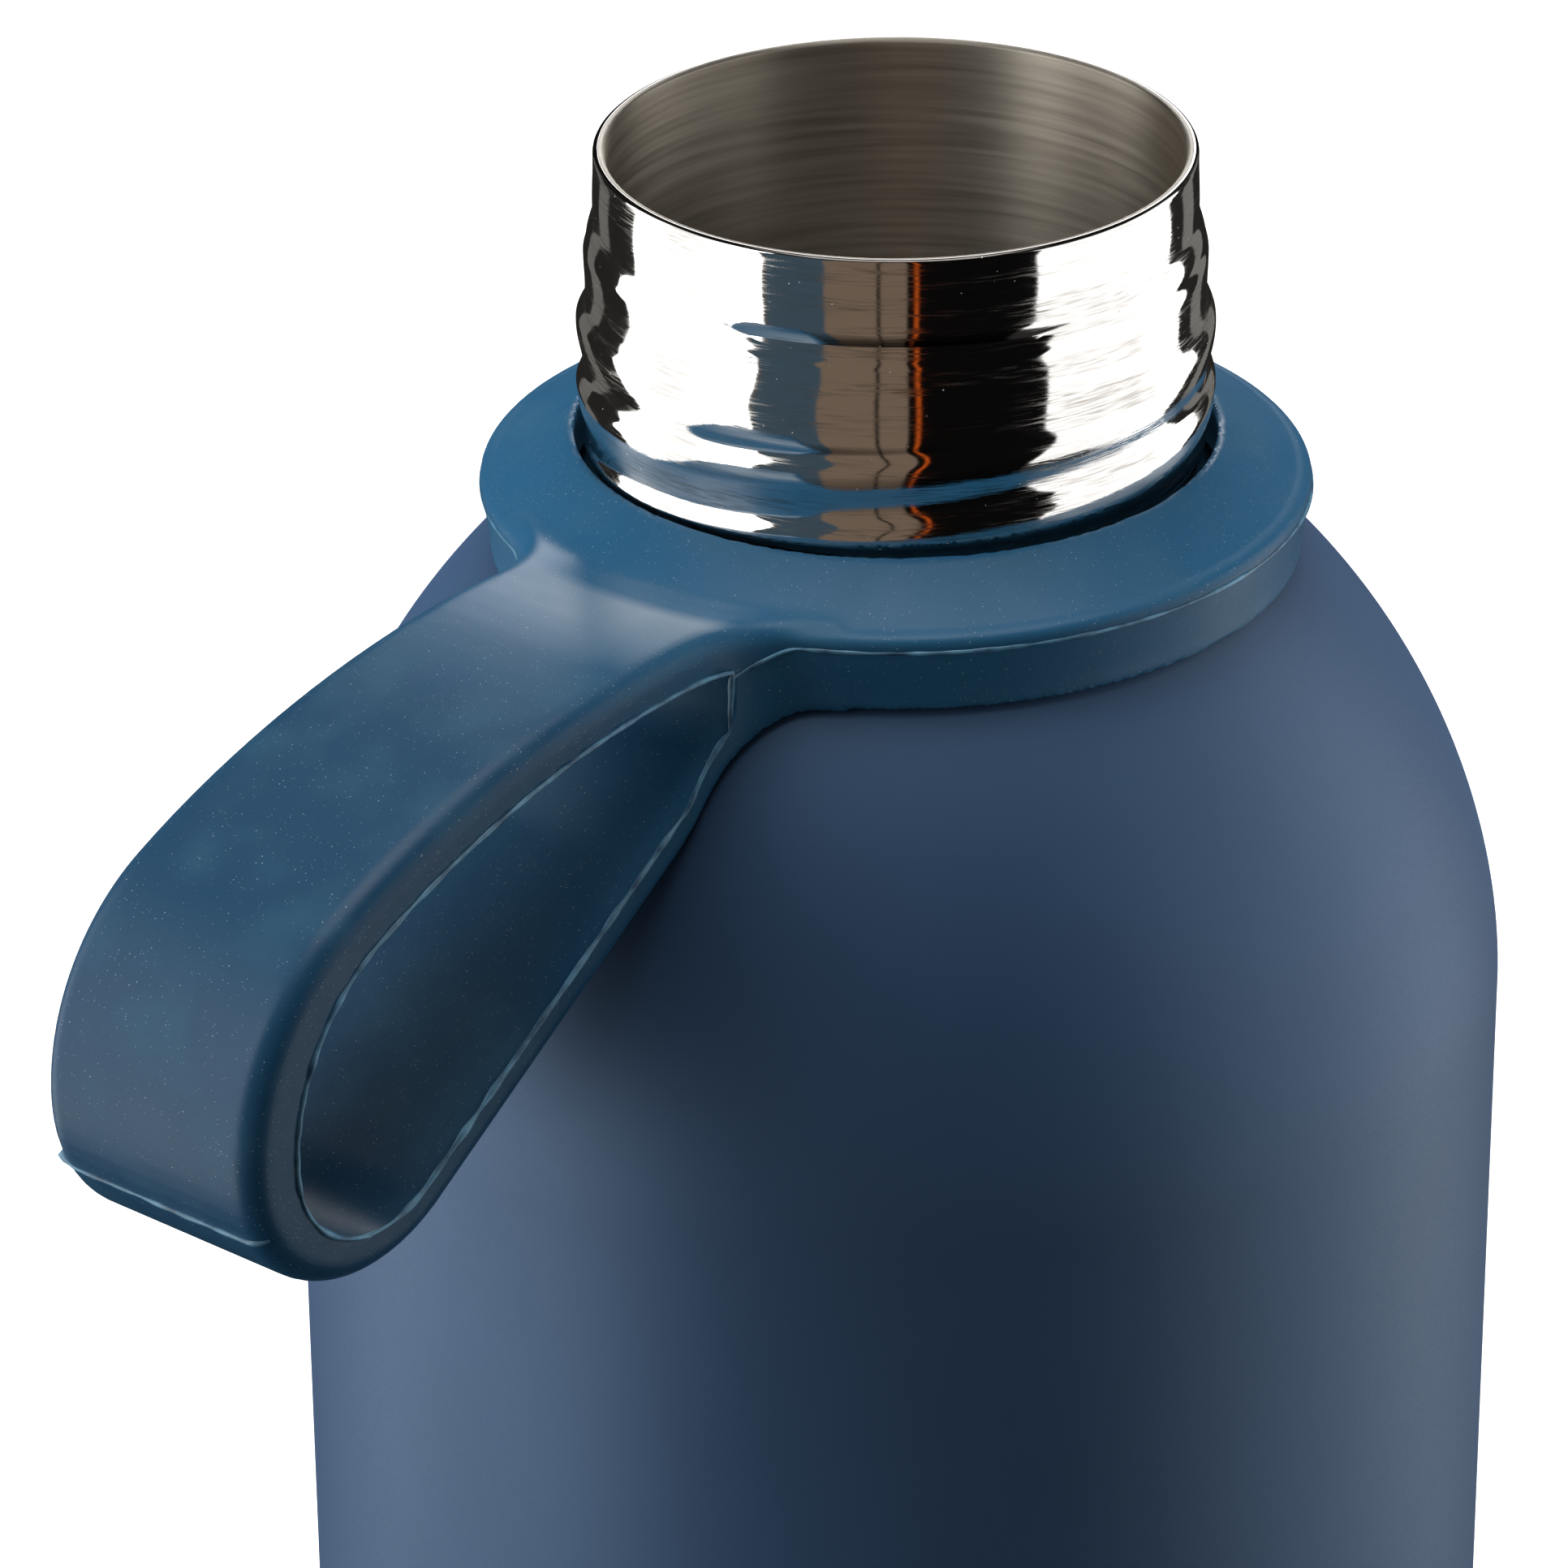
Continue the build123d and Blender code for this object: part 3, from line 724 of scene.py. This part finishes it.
def collarOutline():
    shape = loopShape
    slope = math.radians(shape["topSlope"])
    bore, rounding = shape["boreRadius"], shape["rimRounding"]
    top = rimHeight - shape["topDepth"]
    edge = collarRadius - rounding
    edgeHeight = top - (edge - bore) * math.tan(slope)
    side = edgeHeight - 0.8 * rounding
    start = (edge - rounding * math.sin(slope) * 0.2, edgeHeight)
    middle = (collarRadius - 0.3 * rounding, edgeHeight - 0.28 * rounding)
    outline = [(bore, top - 0.35), (bore + 0.12, top - 0.1), (bore + 0.4, top - 0.1)]
    for i in range(9):  # rounded outer edge
        t = i / 8
        u = (1 - t) ** 2 * start[0] + 2 * t * (1 - t) * (middle[0] + 0.25) + t * t * collarRadius
        v = (1 - t) ** 2 * start[1] + 2 * t * (1 - t) * (middle[1] + 0.12) + t * t * side
        outline.append((u, v))
    outline.append((collarRadius - shape["sideDraft"], side - shape["sideHeight"]))
    outline.append((collarRadius - shape["sideDraft"] - 0.4, side - 12))
    outline.append((bore, side - 12))
    return outline


def strapOutlines():
    shape = loopShape
    heading = math.radians(shape["strapHeading"])
    root = (shape["strapRoot"][0], rimHeight - shape["strapRoot"][1])
    thick = shape["strapRootThickness"]
    above = (root[0] - thick * math.sin(heading), root[1] + thick * math.cos(heading))
    inner, endHeading = arcChain(root, shape["strapHeading"], shape["strapArcs"])
    grown = [(r + g, t) for (r, t), g in zip(shape["strapArcs"], shape["strapGrowth"])]
    outer, _ = arcChain(above, shape["strapHeading"], grown)
    shift = strapLow[1] + max(u for u, v in outer)  # the far end meets the CAD strap's reach
    inner = [(u - shift * ease(u, 40, 70), v) for u, v in inner]
    outer = [(u - shift * ease(u, 40, 70), v) for u, v in outer]
    back = math.radians(endHeading)

    def close(points):  # run both strands on into the collar
        (u0, v0), (u1, v1) = points[0], points[-1]
        end = shape["strapStart"]
        low = (end, v1 + (end - u1) / math.cos(back) * math.sin(back))
        high = (end, v0 - (u0 - end) * math.tan(heading))
        return [high] + points + [low]

    return close(inner), close(outer)


def roundMax(a, b, radius):  # both, with the edge between them rounded
    corner = np.hypot(np.maximum(a + radius, 0), np.maximum(b + radius, 0))
    return np.minimum(np.maximum(a, b), -radius) + corner


def softMin(a, b, radius):  # either, with the corner between them filled a little
    h = np.maximum(radius - np.abs(a - b), 0) / radius
    return np.minimum(a, b) - h * h * radius / 4


def makeLoopDistance():
    shape = loopShape
    inner, outer = strapOutlines()
    body = shoulderCurve(20.0)
    body = [(bodyRadius, rimHeight - 90)] + body + [(-40.0, body[-1][1]), (-40.0, rimHeight - 90)]
    collarTable, holeTable = distanceTable(collarOutline()), distanceTable(inner)
    strapTable, bodyTable = distanceTable(outer), distanceTable(body)
    halfWidth = strapHigh[0]

    def widthAt(out):
        run = np.clip(shape["webStart"] - out, 0, shape["webRadius"] * 0.93)
        return halfWidth + shape["webRadius"] - np.sqrt(shape["webRadius"] ** 2 - run ** 2)

    def distance(x, y, z):
        r = np.hypot(x, y)
        body = readTable(bodyTable, r, z)
        strap = roundMax(readTable(strapTable, -y, z), np.abs(x) - widthAt(-y), shape["edgeRounding"])
        strap = np.maximum(strap, shape["strapStart"] + y)
        loop = softMin(readTable(collarTable, r, z), strap, shape["rootBlend"])
        hole = roundMax(readTable(holeTable, -y, z), shape["holeEnd"] - r, shape["holeRounding"][0])
        hole = roundMax(
            hole, shape["strandThickness"] + shape["shoulderGap"] - body, shape["holeRounding"][1])
        loop = np.maximum(loop, -hole)
        loop = roundMax(loop, shape["shoulderGap"] - body, 0.5)
        return roundMax(loop, shape["boreRadius"] - r, shape["boreRounding"])

    return distance, widthAt, inner, outer, bodyTable


def surfaceNet(field, low, step):
    # One point in each grid cell that the surface crosses, one quad for each crossed grid edge
    inside = field < 0
    shape = tuple(n - 1 for n in field.shape)
    total, count = np.zeros(shape + (3,)), np.zeros(shape)
    corners = [(i, j, k) for i in (0, 1) for j in (0, 1) for k in (0, 1)]

    def part(array, corner):
        return array[tuple(slice(c, c + n) for c, n in zip(corner, shape))]

    for corner in corners:
        for axis in range(3):
            if corner[axis]:
                continue
            other = tuple(c + (a == axis) for a, c in enumerate(corner))
            crossed = part(inside, corner) != part(inside, other)
            f0, f1 = part(field, corner)[crossed], part(field, other)[crossed]
            where = np.repeat(np.array(corner, float)[None], len(f0), axis=0)
            where[:, axis] += f0 / (f0 - f1)
            total[crossed] += where
            count[crossed] += 1
    cells = np.argwhere(count > 0)
    index = -np.ones(shape, int)
    index[tuple(cells.T)] = np.arange(len(cells))
    points = np.array(low) + (cells + total[tuple(cells.T)] / count[tuple(cells.T)][:, None]) * step
    faces = []
    for axis in range(3):
        b, c = (axis + 1) % 3, (axis + 2) % 3
        first = inside.take(range(inside.shape[axis] - 1), axis)
        second = inside.take(range(1, inside.shape[axis]), axis)
        edges = np.argwhere(first != second)
        edges = edges[(edges[:, b] > 0) & (edges[:, c] > 0)]
        outward = first[tuple(edges.T)]
        stepB, stepC = np.eye(3, dtype=int)[b], np.eye(3, dtype=int)[c]
        quad = [index[tuple((edges - o).T)] for o in (0 * stepB, stepB, stepB + stepC, stepC)]
        quad = np.stack(quad, axis=1)
        quad[~outward] = quad[~outward][:, ::-1]
        faces.append(quad)
    return points, np.concatenate(faces)


def settle(distance, points, most, rounds=4):
    # Moves points onto the surface, along its slope
    points = points.copy()
    e = 0.02
    for _ in range(rounds):
        x, y, z = points.T
        value = distance(x, y, z)
        slope = np.stack([
            distance(x + e, y, z) - distance(x - e, y, z),
            distance(x, y + e, z) - distance(x, y - e, z),
            distance(x, y, z + e) - distance(x, y, z - e)], axis=1) / (2 * e)
        size = np.maximum((slope ** 2).sum(axis=1), 0.2)
        points -= np.clip(value / size, -most, most)[:, None] * slope
    return points


def ridge(points, radius, closed, sides=6):
    # Thin bead of flash along a line, as a tube half sunk in the surface; radius is one value a point
    points = np.asarray(points, float)
    count = len(points)
    ahead = np.roll(points, -1, axis=0) - np.roll(points, 1, axis=0)
    if not closed:
        ahead[0], ahead[-1] = points[1] - points[0], points[-1] - points[-2]
    ahead /= np.linalg.norm(ahead, axis=1)[:, None]
    up = np.array([1.0, 0.02, 0.03]) if abs(ahead[:, 0]).max() < 0.9 else np.array([0.03, 0.02, 1.0])
    side = np.cross(ahead, up)
    side /= np.linalg.norm(side, axis=1)[:, None]
    other = np.cross(ahead, side)
    rings, faces = [], []
    for k in range(sides):
        a = 2 * math.pi * k / sides
        rings.append(points + np.asarray(radius)[:, None] * (math.cos(a) * side + math.sin(a) * other))
    mesh = np.stack(rings, axis=1).reshape(-1, 3)
    last = count if closed else count - 1
    for i in range(last):
        j = (i + 1) % count
        for k in range(sides):
            m = (k + 1) % sides
            faces.append((i * sides + k, i * sides + m, j * sides + m, j * sides + k))
    if not closed:
        faces.append(tuple(range(sides))[::-1])
        faces.append(tuple((count - 1) * sides + k for k in range(sides)))
    return mesh, faces


flashShape = {
    "radius": 0.2,
    "unevenness": 0.3,
    "spacing": 0.5,
    "jointDepth": 51.0,       # below the rim, across the strap's far end
    "nub": (0.5, 0.62, 0.5, 0.3),   # radii of the nub left at the vent
    "collarDepth": 25.7,
    "collarOpening": 0.42,    # sine of half the angle left free for the strap
    "collarEnds": (31.0, 27.4),     # distance from the axis and depth where the line reaches the hole
}


def uneven(points, seed):  # slow waves along a line, from its own places
    waves = sum(np.sin(points @ np.array(w) + seed * n) for n, w in enumerate(
        ((0.9, 0.7, 1.3), (2.1, 1.7, 0.6), (0.33, 0.52, 2.9)), 1))
    return 1 + flashShape["unevenness"] * waves / 2


def respace(points, spacing, closed=False):
    points = np.asarray(points, float)
    if closed:
        points = np.vstack([points, points[:1]])
    length = np.concatenate([[0], np.cumsum(np.linalg.norm(np.diff(points, axis=0), axis=1))])
    count = max(int(length[-1] / spacing), 3)
    at = np.linspace(0, length[-1], count + 1)
    spaced = np.stack([np.interp(at, length, points[:, k]) for k in range(3)], axis=1)
    return spaced[:-1] if closed else spaced


def buildLoop(material):
    shape, flash = loopShape, flashShape
    distance, widthAt, inner, outer, bodyTable = makeLoopDistance()
    step = shape["gridStep"]
    low = np.array([collarLow[0], strapLow[1], strapLow[2]]) - 3 * step
    high = np.array([collarHigh[0], collarHigh[1], collarHigh[2]]) + 3 * step
    axes = [np.arange(low[k], high[k], step) for k in range(3)]
    field = distance(*np.meshgrid(*axes, indexing="ij"))
    points, faces = surfaceNet(field, low, step)
    points = settle(distance, points, 0.5 * step)
    print("loop surface:", len(points), "points")

    beads = []  # flash round both edges of the finger hole, across the far end and round the collar
    for side in (1, -1):
        line = []
        for (u0, v0), (u1, v1) in zip(inner, inner[1:]):
            count = max(2, int(math.hypot(u1 - u0, v1 - v0) / flash["spacing"]))
            for t in np.linspace(0, 1, count, endpoint=False):
                line.append((u0 + t * (u1 - u0), v0 + t * (v1 - v0)))
        line = np.array(line)
        x = widthAt(line[:, 0])
        floor = shape["strandThickness"] + shape["shoulderGap"]
        for _ in range(12):  # the floor of the hole rides over the shoulder
            gap = readTable(bodyTable, np.hypot(x, line[:, 0]), line[:, 1])
            line[:, 1] += np.where(gap < floor, floor - gap, 0)
        keep = np.hypot(x, line[:, 0]) > shape["holeEnd"]
        path = np.stack([side * x, -line[:, 0], line[:, 1]], axis=1)[keep]
        path = respace(path, flash["spacing"], closed=True)
        beads.append(ridge(path, flash["radius"] * uneven(path, 1.7 * side), True))
    far = max(outer, key=lambda p: p[0])  # mould joint across the far end
    level = rimHeight - flash["jointDepth"]
    joint = min((p for p in outer if p[0] > far[0] - 6), key=lambda p: abs(p[1] - level))
    x = np.linspace(-strapHigh[0] - 0.4, strapHigh[0] + 0.2, 50)
    path = np.stack([x, np.full(50, -joint[0] + 0.3), np.full(50, joint[1])], axis=1)
    path = settle(distance, path, 1.0)
    size = flash["radius"] * uneven(path, 4.1)
    size[:4] = flash["nub"]
    beads.append(ridge(path, size, False))
    start = math.asin(flash["collarOpening"])  # parting line round the collar, open at the strap
    turn = np.linspace(start, 2 * math.pi - start, 420) - math.pi / 2
    path = np.stack([collarRadius * np.cos(turn), collarRadius * np.sin(turn),
                     np.full(turn.shape, rimHeight - flash["collarDepth"])], axis=1)
    reach, depth = flash["collarEnds"]
    for end, sign in ((path[0], 1), (path[-1], -1)):
        tip = np.array([sign * widthAt(np.array([reach]))[0], -reach, rimHeight - depth])
        lead = np.array([end + (tip - end) * t for t in np.linspace(1, 0, 16)[:-1]])
        path = np.vstack([lead, path]) if sign == 1 else np.vstack([path, lead[::-1]])
    path = settle(distance, path, 1.0)
    path = respace(path, flash["spacing"])
    beads.append(ridge(path, 0.8 * flash["radius"] * uneven(path, 2.6), False))

    allPoints, allFaces = [points], [tuple(face) for face in faces.tolist()]
    count = len(points)
    for beadPoints, beadFaces in beads:
        allPoints.append(beadPoints)
        allFaces += [tuple(count + k for k in face) for face in beadFaces]
        count += len(beadPoints)
    piece = meshPiece("carry_loop", np.vstack(allPoints), allFaces, material, 60, siliconeFlash(), len(faces))
    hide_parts("loop_collar", "loop_strap")
    height = (rimHeight - shape["bendDepth"]) * mm
    start, end = [(0, -reach * mm, height) for reach in shape["bend"]]
    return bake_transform(piece)


def dressHiddenParts():
    looks = {
        "port_seal": hiddenFinish("fused_seal_glass"),
        "getter": hiddenFinish("sintered_getter"),
        "radiation_foil": hiddenFinish("rolled_copper_foil"),
        "getter_holder": bpy.data.materials["satin_stainless"],
    }
    for name, material in looks.items():
        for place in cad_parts[name].material_slots:
            place.material = material


cameraSetting = {
    "lens": 170.4,            # mm on a 36 mm sensor
    "place": (0.3062, -0.3849, 0.4617),
    "azimuth": 38.5,          # degrees
    "pitch": 26.724,          # degrees below level
    "turn": 0.865,            # degrees to its own left, which puts the bottle right of centre
}


def placeCamera():
    setting = cameraSetting
    data = bpy.data.cameras.new("camera")
    data.lens, data.sensor_width = setting["lens"], 36.0
    camera = bpy.data.objects.new("camera", data)
    bpy.context.collection.objects.link(camera)
    turn = Matrix.Rotation(math.radians(setting["azimuth"]), 4, "Z")
    tilt = Matrix.Rotation(math.radians(90 - setting["pitch"]), 4, "X")
    aside = Matrix.Rotation(math.radians(setting["turn"]), 4, "Y")
    camera.matrix_world = Matrix.Translation(setting["place"]) @ turn @ tilt @ aside
    bpy.context.scene.camera = camera


studio = {
    "front": 308.5,           # degrees round the axis, where the camera stands
    "distance": 0.42,
    # Each side has three panels: angles from the camera, top, glow
    "panels": {"left_front": (-50, -72, 0.62, 4.0), "left_middle": (-72, -96, 0.62, 1.45),
               "left_rear": (-96, -114, 0.62, 3.0), "right_front": (53, 76, 0.5, 1.35),
               "right_middle": (76, 98, 0.5, 1.35), "right_rear": (98, 124, 0.5, 2.1)},
    "panelFoot": -0.1,
    # The others by angle from the camera, degrees above the rim, distance, side and glow
    "above": (180.0, 86.0, 0.95, 0.7, 5.4),
    "behind": (176.0, 22.0, 0.9, 0.28, 11.0),
    "floor": "#f4f4f3",
    "floorPatch": "#fbfbfa",
    "floorSize": 12000.0,     # mm
}


def softLight(name, place, target, width, height, glow):
    data = bpy.data.lights.new(name, "AREA")
    data.shape, data.size, data.size_y = "RECTANGLE", width, height
    data.energy = glow * math.pi * width * height
    lamp = bpy.data.objects.new(name, data)
    bpy.context.collection.objects.link(lamp)
    lamp.location = place
    lamp.rotation_euler = (Vector(target) - Vector(place)).to_track_quat("-Z", "Y").to_euler()
    lamp.visible_camera = False
    return lamp


def fromCamera(turn, reach, height):  # a place by its angle from the camera, round the bottle
    angle = math.radians(studio["front"] + turn)
    return reach * math.cos(angle), reach * math.sin(angle), height


def lightStudio():
    for name, (near, far, top, glow) in studio["panels"].items():
        middle = (top + studio["panelFoot"]) / 2
        place = fromCamera((near + far) / 2, studio["distance"], middle)
        width = 2 * studio["distance"] * math.tan(math.radians(abs(far - near) / 2))
        softLight(name, place, (0, 0, middle), width, top - studio["panelFoot"], glow)
    rim = (0, 0, rimHeight * mm)
    for name in ("above", "behind"):
        turn, rise, reach, size, glow = studio[name]
        out, up = reach * math.cos(math.radians(rise)), reach * math.sin(math.radians(rise))
        softLight(name, fromCamera(turn, out, rim[2] + up), rim, size, size, glow)


# The unlit side of the studio, as upright bands: angle from the camera, colour
studioBands = [
    (-180, "#262523"), (-152, "#6f6d6a"), (-140, "#262523"), (-112, "#4a4947"), (-50, "#3f505d"),
    (-27, "#766658"), (-8, "#2e2722"), (-7, "#766658"),     # planks, with the gap between two
    (3, "#0d0b0a"), (7, "#b8501a"), (8.2, "#0b0a0a"),       # orange edge against black cloth
    (53, "#4a4947"), (122, "#262523"), (139, "#7b7976"), (153, "#262523"),
]


def lightWorld():
    world = bpy.data.worlds.new("studio")
    world.use_nodes = True
    bpy.context.scene.world = world
    tree = world.node_tree
    tree.nodes.clear()
    way = addNode(tree, "TexCoord").outputs["Generated"]
    turn = Matrix.Rotation(-math.radians(studio["front"]), 3, "Z").to_euler()
    facing = addNode(tree, "Mapping", {"Vector": way, "Rotation": turn}).outputs["Vector"]
    split = addNode(tree, "SeparateXYZ", {"Vector": facing})
    angle = addNode(tree, "Math", {0: split.outputs["Y"], 1: split.outputs["X"]}, operation="ARCTAN2")
    share = addNode(tree, "MapRange", {"Value": angle.outputs[0], "From Min": -math.pi, "From Max": math.pi})
    bands = addNode(tree, "ValToRGB", {"Fac": share.outputs[0]})
    ramp = bands.color_ramp
    ramp.interpolation = "CONSTANT"
    for i, (degrees, colour) in enumerate(studioBands):
        spot = ramp.elements[i] if i < 2 else ramp.elements.new(1.0)
        spot.position = (degrees + 180) / 360
        spot.color = linear(colour)
    lit = addNode(tree, "MapRange", {  # dark table under the object
        "Value": split.outputs["Z"], "From Min": -0.85, "From Max": -0.5, "To Min": 0.1})
    room = addNode(tree, "Background", {"Color": bands.outputs["Color"], "Strength": lit.outputs[0]})
    paper = addNode(tree, "Background", {"Color": linear("#ffffff"), "Strength": 1.0})
    sight = addNode(tree, "LightPath").outputs["Is Camera Ray"]
    mixed = addNode(tree, "MixShader", {0: sight, 1: room.outputs[0], 2: paper.outputs[0]})
    output = addNode(tree, "OutputWorld", {"Surface": mixed.outputs[0]})
    output.is_active_output = True


def layFloor():
    material, tree, output, place = startMaterial("pale_floor")
    mottle = addNode(tree, "TexNoise", {"Vector": place, "Scale": 6.0, "Detail": 2.0})
    colour = layered(tree, studio["floor"], [(mottle.outputs["Fac"], studio["floorPatch"])])
    surface = addNode(tree, "BsdfPrincipled", {"Base Color": colour, "Roughness": 0.9})
    glow = addNode(tree, "Emission", {"Color": colour, "Strength": 0.7})
    pale = addNode(tree, "AddShader", {0: surface.outputs[0], 1: glow.outputs[0]})
    below = addNode(tree, "NewGeometry").outputs["Backfacing"]  # open from below, to look at the foot
    clear = addNode(tree, "BsdfTransparent")
    mixed = addNode(tree, "MixShader", {0: below, 1: pale.outputs[0], 2: clear.outputs[0]})
    tree.links.new(mixed.outputs[0], output.inputs["Surface"])
    half = studio["floorSize"] / 2
    points = [(-half, -half, 0), (half, -half, 0), (half, half, 0), (-half, half, 0)]
    floor = meshPiece("floor", points, [(0, 1, 2, 3)], material)
    floor.visible_diffuse = False
    floor.visible_glossy = False
    floor.visible_shadow = False


bpy.context.scene.view_settings.view_transform = "Standard"
placeCamera()
lightStudio()
lightWorld()
layFloor()
print("camera, lights and floor")

steelMirror, steelSatin, coat, rubber = polishedSteel(), satinSteel(), powderCoat(), mouldedSilicone()
print("materials")
buildNeck(steelMirror)
buildBody(coat)
buildFoot(coat)
buildCover(steelMirror)
buildLiner(steelSatin)
print("bottle")
buildLoop(rubber)
dressHiddenParts()
print("carry loop and hidden parts")

bpy.context.view_layer.update()
